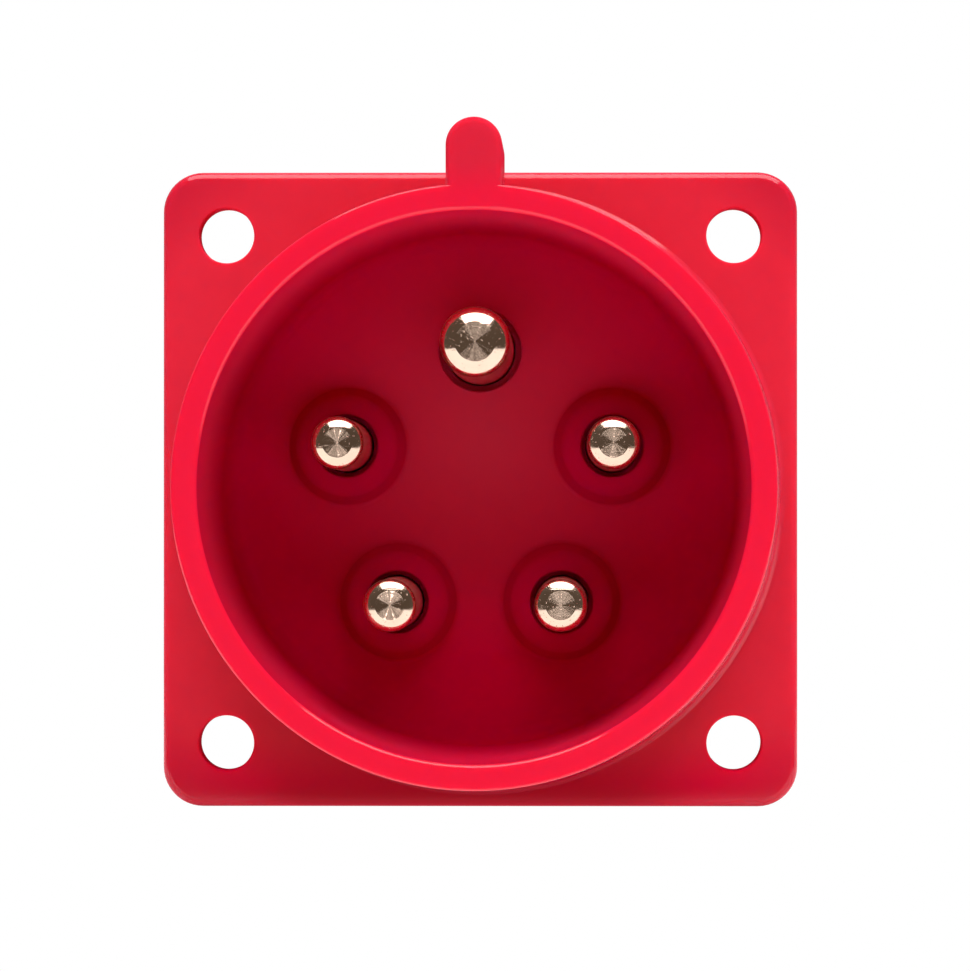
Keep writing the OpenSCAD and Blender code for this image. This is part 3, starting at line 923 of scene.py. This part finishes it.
def dressed(name, tones, gloss, grain_scale, scuff_density, scuff_lift):
    """Material with skin and scuffs, its shader, the skin's height and the scuffs' mask."""
    material = bpy.data.materials.new(name)
    material.use_nodes = True
    tree = material.node_tree
    shader = tree.nodes["Principled BSDF"]
    place = object_place(tree)
    body = use_group(tree, skin, place, Light_Tone=(*tones[0], 1), Dark_Tone=(*tones[1], 1),
                     Gloss_Low=gloss[0], Gloss_High=gloss[1], Grain_Scale=grain_scale)
    marks = use_group(tree, scuff, place, Density=scuff_density).outputs["Mask"]
    lift = math_of(tree, marks, scuff_lift, "MULTIPLY")
    tree.links.new(body.outputs["Colour"], shader.inputs["Base Color"])
    tree.links.new(math_of(tree, body.outputs["Roughness"], lift), shader.inputs["Roughness"])
    return material, shader, body.outputs["Height"], marks


def bump_of(tree, shader, height, distance):
    """Let a height tilt the shader's normal."""
    node = add(tree, "ShaderNodeBump", Strength=1.0, Distance=distance)
    tree.links.new(height, node.inputs["Height"])
    tree.links.new(node.outputs["Normal"], shader.inputs["Normal"])


# %% [markdown]
# A moulded plastic or rubber takes the skin's grain as its height. A metal takes the rings, less the scuffs
# and nicks that are cut into it. Its colour is its reflection, so its looks come from its roughness and its
# marks.

# %% Moulded and metal materials
METAL_GRAIN = 1500.0
NICK_SCALE = 4200.0
NICK_CRESTS = (0.70, 0.78)


def moulded(name, tones, gloss, grain_scale, grain_depth, scuff_density, scuff_lift, ior=1.5):
    """Plastic or rubber with a moulded grain."""
    material, shader, grain, _ = dressed(name, tones, gloss, grain_scale, scuff_density, scuff_lift)
    bump_of(material.node_tree, shader, grain, grain_depth)
    shader.inputs["IOR"].default_value = ior
    return material, shader


def metal(name, tones, gloss, scuff_density, scuff_lift, scuff_cut, ring_depth, nick_cut=0):
    """Turned metal with rings, scuffs and, on request, nicks; a cut is in depths of a ring."""
    material, shader, _, marks = dressed(name, tones, gloss, METAL_GRAIN, scuff_density, scuff_lift)
    tree = material.node_tree
    place = object_place(tree)
    shader.inputs["Metallic"].default_value = 1.0
    cut = math_of(tree, marks, scuff_cut, "MULTIPLY")
    height = math_of(tree, use_group(tree, rings, place).outputs["Height"], cut, "SUBTRACT")
    if nick_cut:
        nicks = spread(tree, noise(tree, place, NICK_SCALE, 1), *NICK_CRESTS, 0, nick_cut)
        height = math_of(tree, height, nicks, "SUBTRACT")
    bump_of(tree, shader, height, ring_depth)
    return material, shader


# %% [markdown]
# The red plastic lets light in: it scatters about two millimetres deep, red further than green or blue, and
# that is why the rim glows and no corner of the bowl looks hard. Subsurface scattering gives this. A gloss of
# the plastic itself would draw pale arcs on the floor, so its own specular is off, and a thin coat adds the
# crisp line of light along the outer edges.

# %% Red plastic: body
# The outer tones are the red's own colour with a pale painted sheen in their green and blue: the veil of
# light on the lit outer skin.
OUTER_RED_AND_SHEEN = ((0.69, 0.021, 0.051), (0.66, 0.019, 0.049))
red, red_shader = moulded("housing_red", OUTER_RED_AND_SHEEN, gloss=(0.17, 0.21), grain_scale=2600.0,
                          grain_depth=5e-6, scuff_density=0.1, scuff_lift=0.05)
RED_BODY = {"Specular IOR Level": 0.0, "Subsurface Weight": 0.7, "Subsurface Radius": (1.0, 0.1, 0.14),
            "Subsurface Scale": 0.002, "Coat Roughness": 0.1, "Coat IOR": 1.5}
for label, value in RED_BODY.items():
    red_shader.inputs[label].default_value = value
print("red plastic:", len(red.node_tree.nodes), "nodes so far")

# %% [markdown]
# The tone changes from place to place, and these changes are painted light and shade: a pale painted sheen
# round the middle of the floor, painted shade on the bowl's wall, the bosses, the nose and the flange's
# corners, painted shade at the bottom, where the outer painted sheen is taken out, and the rim with less of
# that sheen. Masks from Object coordinates tell where each tone lies. A zone is a share that rises from 0 to
# 1 between two places, which are in millimetres as on the bench.

# %% Red plastic: where each tone lies


def zone(tree, value, start, end):
    """Share that is 0 up to the start and 1 from the end on."""
    return spread(tree, value, start * MM, end * MM, 0, 1)


def all_of(tree, first, *others):
    """Product of several shares."""
    for share in others:
        first = math_of(tree, first, share, "MULTIPLY")
    return first


def vector_of(tree, operation, vector, other=None):
    """Result of one sum with vectors, which is a plain number for a length."""
    node = add(tree, "ShaderNodeVectorMath", operation=operation)
    tree.links.new(vector, node.inputs[0])
    if other:
        node.inputs[1].default_value = other
    return node.outputs["Value" if operation in ("LENGTH", "DISTANCE") else "Vector"]


# A pale painted reflection lies round the middle of the floor; this is its share at the middle.
PAINTED_SHEEN_PEAK = 0.8
tree = red.node_tree
place = object_place(tree)
face_place = vector_of(tree, "MULTIPLY", place, (1, 0, 1))
reach = vector_of(tree, "LENGTH", face_place)
depth = axis_place(tree, place, "Y")
height = axis_place(tree, place, "Z")
across = math_of(tree, axis_place(tree, place, "X"), 0, "ABSOLUTE")
# Distance from the middle of the painted reflection on the floor.
from_sheen_middle = vector_of(tree, "DISTANCE", face_place, (0, 0, 6 * MM))
outside = zone(tree, reach, 30.3, 30.9)
# Painted shade on the bosses.
boss_shade = all_of(tree, zone(tree, depth, -5.05, -5.8), zone(tree, reach, 26.2, 25.0))
# Painted shade on the nose, which is also where the coat is left off.
nose_shade_and_dull = all_of(tree, zone(tree, height, 32.8, 36.2), zone(tree, across, 4.0, 3.6),
                 zone(tree, depth, -18, -22))
# Painted shade on the bowl's wall and where it meets the floor.
wall_shade = zone(tree, reach, 28.5, 30.0)
# The rim with less of the outer painted sheen.
rim_low_sheen = zone(tree, depth, -30, -46)
# Painted shade at the flange's corners.
corner_shade = zone(tree, reach, 44, 51)
# Painted shade at the bottom, where the outer painted sheen is taken out in the shroud's shadow.
bottom_shade = zone(tree, height, -29.0, -34.5)
painted_sheen = spread(tree, from_sheen_middle, 2 * MM, 26 * MM, PAINTED_SHEEN_PEAK, 0)
print("red plastic:", len(tree.nodes), "nodes so far")

# %% [markdown]
# Each tone is then laid over the last by its share, in the bowl and outside apart, and the two colours meet
# at the rim's inner edge. The outside's colour holds the painted sheen, the bowl's has none.

# %% Red plastic: tones
# Tones of painted light and shade: a pale painted sheen on the floor, painted shade on the wall, the bosses,
# the bottom, the corners and the nose, and a rim with less painted sheen.
BOWL_RED = ((0.715, 0.0, 0.062), (0.685, 0.0, 0.059))
PAINTED_SHEEN_RED = (0.67, 0.038, 0.085)
WALL_SHADE_RED = (0.62, 0.0, 0.036)
BOSS_SHADE_RED = (0.525, 0.002, 0.047)
LOW_SHADE_RED = (0.68, 0.0, 0.046)
CORNER_SHADE_RED = (0.54, 0.011, 0.038)
RIM_LOW_SHEEN_RED = (0.68, 0.007, 0.038)
NOSE_SHADE_RED = (0.57, 0.015, 0.039)


def layered(tree, colour, *layers):
    """Colour with even tones laid over it, each by its own share."""
    for share, tone in layers:
        colour = blend_of(tree, share, colour, (*tone, 1))
    return colour


bowl = use_group(tree, skin, place, Light_Tone=(*BOWL_RED[0], 1), Dark_Tone=(*BOWL_RED[1], 1))
inner_colour = layered(tree, bowl.outputs["Colour"],
                       (painted_sheen, PAINTED_SHEEN_RED), (wall_shade, WALL_SHADE_RED), (boss_shade, BOSS_SHADE_RED))
outer_colour = layered(tree, red_shader.inputs["Base Color"].links[0].from_socket,
                       (bottom_shade, LOW_SHADE_RED), (corner_shade, CORNER_SHADE_RED), (rim_low_sheen, RIM_LOW_SHEEN_RED), (nose_shade_and_dull, NOSE_SHADE_RED))
tree.links.new(blend_of(tree, outside, inner_colour, outer_colour), red_shader.inputs["Base Color"])
print("red plastic:", len(tree.nodes), "nodes with its tones")

# %% [markdown]
# The coat is left off in the bowl, in the fixing holes and on the nose, where the mould was dull. The four
# fixing holes lie alike in the four quarters, so the absolute value of a place folds them onto one.

# %% Red plastic: coat
COAT = 0.8
folded = vector_of(tree, "ABSOLUTE", face_place)
from_hole = vector_of(tree, "DISTANCE", folded, (FIXING_AT * MM, 0, FIXING_AT * MM))
coated = all_of(tree, outside, zone(tree, from_hole, 3.4, 3.8), spread(tree, nose_shade_and_dull, 0, 1, COAT, 0))
tree.links.new(coated, red_shader.inputs["Coat Weight"])
print("red plastic:", len(tree.nodes), "nodes")

# %% [markdown]
# The carrier is a charcoal plastic with a coarser grain and the seal a dull rubber. The screws are zinc
# plated, which is a paler and rougher metal than polished brass.

# %% Charcoal, rubber and zinc
charcoal, _ = moulded("carrier_charcoal", ((0.020, 0.020, 0.022), (0.014, 0.014, 0.015)), gloss=(0.38, 0.50),
                      grain_scale=1800.0, grain_depth=1.5e-5, scuff_density=0.35, scuff_lift=0.15)
rubber, _ = moulded("gasket_black", ((0.014, 0.014, 0.014), (0.009, 0.009, 0.009)), gloss=(0.62, 0.8),
                    grain_scale=1300.0, grain_depth=2.5e-5, scuff_density=0.3, scuff_lift=0.1, ior=1.45)
zinc, _ = metal("screw_zinc", ((0.72, 0.73, 0.75), (0.60, 0.62, 0.66)), gloss=(0.22, 0.34),
                scuff_density=0.6, scuff_lift=0.25, scuff_cut=1, ring_depth=3e-6)
print("materials:", [m.name for m in (charcoal, rubber, zinc)])

# %% [markdown]
# The brass pins are polished at the tip, where they enter the mating contacts, and duller from the rounded
# edge on along the drawn side. The earth pin is longer, so its edge comes earlier. Use has left a few nicks,
# which sparkle on the dark sides of the domes.

# %% Brass
BRASS = ((0.77, 0.57, 0.445), (0.69, 0.49, 0.375))
SIDE_DULL = 0.25
EARTH_LEAD = 2.2
brass, brass_shader = metal("pin_brass", BRASS, gloss=(0.06, 0.12), scuff_density=0.9, scuff_lift=0.25,
                            scuff_cut=4, ring_depth=1.5e-6, nick_cut=14.0)
tree = brass.node_tree
place = object_place(tree)
tip_gloss = brass_shader.inputs["Roughness"].links[0].from_socket
lead = spread(tree, axis_place(tree, place, "Z"), 9 * MM, 11 * MM, 0, EARTH_LEAD * MM)
from_tip = math_of(tree, axis_place(tree, place, "Y"), lead)
side_gloss = spread(tree, from_tip, -38.9 * MM, -38.0 * MM, 0, SIDE_DULL)
tree.links.new(math_of(tree, tip_gloss, side_gloss), brass_shader.inputs["Roughness"])
print("brass:", len(tree.nodes), "nodes")

# %% [markdown]
# Each piece has one material, and a material has the name of its slot.

# %% Give each piece its material
for material, pieces in ((red, [housing_piece]), (rubber, [gasket_piece]), (charcoal, [carrier_piece]),
                         (brass, pin_pieces), (zinc, screw_pieces)):
    for piece in pieces:
        piece.data.materials.append(material)
    print(f"{material.name}: {len(pieces)} pieces")

# %% [markdown]
# ## Table and light
# The portrait was taken on a white table under one wide soft light that hangs level above and in front,
# before a bright backdrop. The lamp lights the table, which also glows a little by itself, as a room's own
# light would do; to the camera it is plain white. Mirrored rays pass through the table's front part, so that
# the pale crescent at the foot of the pin tips ends level.

# %% White table
TABLE_SIZE = (0.62, 1.05)
TABLE_MIDDLE_Y = 0.05
TABLE_GLOW = 0.33
TABLE_TONE = (0.9, 0.9, 0.9, 1)
CLEAR_TO, SOLID_FROM = -40, -20


def mixed(tree, share, a, b):
    """Shader that goes from a to b as the share rises."""
    mix = tree.nodes.new("ShaderNodeMixShader")
    for socket, value in zip(mix.inputs, (share, a, b)):
        tree.links.new(value, socket)
    return mix.outputs["Shader"]


def by_ray(tree, ray, if_so, if_not):
    """Show one shader to rays of a kind, and another to the rest."""
    path = tree.nodes.new("ShaderNodeLightPath")
    return mixed(tree, path.outputs[ray], if_not, if_so)


table_bm = bmesh.new()
table_place = Matrix.Translation((0, TABLE_MIDDLE_Y, cad_low.z)) @ Matrix.Diagonal((*TABLE_SIZE, 1, 1))
bmesh.ops.create_grid(table_bm, x_segments=1, y_segments=1, size=0.5, matrix=table_place)
table = on_bench(table_bm, "white_table")
table_white = bpy.data.materials.new("table_white")
table_white.use_nodes = True
tree = table_white.node_tree
tree.nodes.remove(tree.nodes["Principled BSDF"])
seen = add(tree, "ShaderNodeEmission", Strength=1.0)
lit = add(tree, "ShaderNodeBsdfDiffuse", Color=TABLE_TONE)
glow = add(tree, "ShaderNodeEmission", Strength=TABLE_GLOW)
both = tree.nodes.new("ShaderNodeAddShader")
tree.links.new(lit.outputs["BSDF"], both.inputs[0])
tree.links.new(glow.outputs["Emission"], both.inputs[1])
solid = zone(tree, axis_place(tree, object_place(tree), "Y"), CLEAR_TO, SOLID_FROM)
clear = tree.nodes.new("ShaderNodeBsdfTransparent").outputs["BSDF"]
mirrored = mixed(tree, solid, clear, both.outputs["Shader"])
shown = by_ray(tree, "Is Glossy Ray", mirrored, both.outputs["Shader"])
shown = by_ray(tree, "Is Camera Ray", seen.outputs["Emission"], shown)
tree.links.new(shown, tree.nodes["Material Output"].inputs["Surface"])
table.data.materials.append(table_white)
print("table:", len(tree.nodes), "nodes")

# %% [markdown]
# The domed pin tips show the whole room: the pale floor of the studio as a broad crescent below, the lamp as
# a shorter one above, and dim warm walls at the sides. The world gives the floor, the walls and the backdrop
# by direction, and is plain white to the camera.

# %% Room
STUDIO_FLOOR_GLOW = 1.58
ROOM_GLOW = 0.11
ROOM_TINT = (1.0, 0.83, 0.675, 1)
BACKDROP_GLOW = 0.45
BACKDROP_RISE = (0.15, 0.5)
FLOOR_EDGE = (-0.19, -0.16)
world = bpy.data.worlds.new("studio")
bpy.context.scene.world = world
world.use_nodes = True
tree = world.node_tree
seen = tree.nodes["Background"]
seen.inputs["Color"].default_value = (1, 1, 1, 1)
felt = tree.nodes.new("ShaderNodeBackground")
direction = tree.nodes.new("ShaderNodeTexCoord").outputs["Generated"]
behind = spread(tree, axis_place(tree, direction, "Y"), *BACKDROP_RISE, ROOM_GLOW, BACKDROP_GLOW)
below = spread(tree, axis_place(tree, direction, "Z"), *FLOOR_EDGE, STUDIO_FLOOR_GLOW, 0)
strength = math_of(tree, behind, below, "MAXIMUM")
bright = spread(tree, strength, ROOM_GLOW, 3 * ROOM_GLOW, 0, 1)
tree.links.new(strength, felt.inputs["Strength"])
tree.links.new(blend_of(tree, bright, ROOM_TINT, (1, 1, 1, 1)), felt.inputs["Color"])
shown = by_ray(tree, "Is Camera Ray", seen.outputs["Background"], felt.outputs["Background"])
tree.links.new(shown, tree.nodes["World Output"].inputs["Surface"])
print("room:", len(tree.nodes), "nodes")

# %% [markdown]
# The lamp is an area light that faces straight down. Its energy comes from the glow that it should show in
# a mirror, so that its size can change without its brightness.

# %% Lamp
LAMP_GLOW = 5.0
LAMP_AT = (0.06, -0.40, 0.6)
LAMP_WIDE, LAMP_DEEP = 0.76, 0.9
lamp_data = bpy.data.lights.new("top_lamp", "AREA")
lamp_data.shape = "RECTANGLE"
lamp_data.size, lamp_data.size_y = LAMP_WIDE, LAMP_DEEP
lamp_data.energy = LAMP_GLOW * math.pi * LAMP_WIDE * LAMP_DEEP
lamp = bpy.data.objects.new("top_lamp", lamp_data)
bpy.context.scene.collection.objects.link(lamp)
lamp.location = LAMP_AT
bpy.context.scene.view_settings.view_transform = "Standard"
print("lamp:", round(lamp_data.energy, 1), "W")
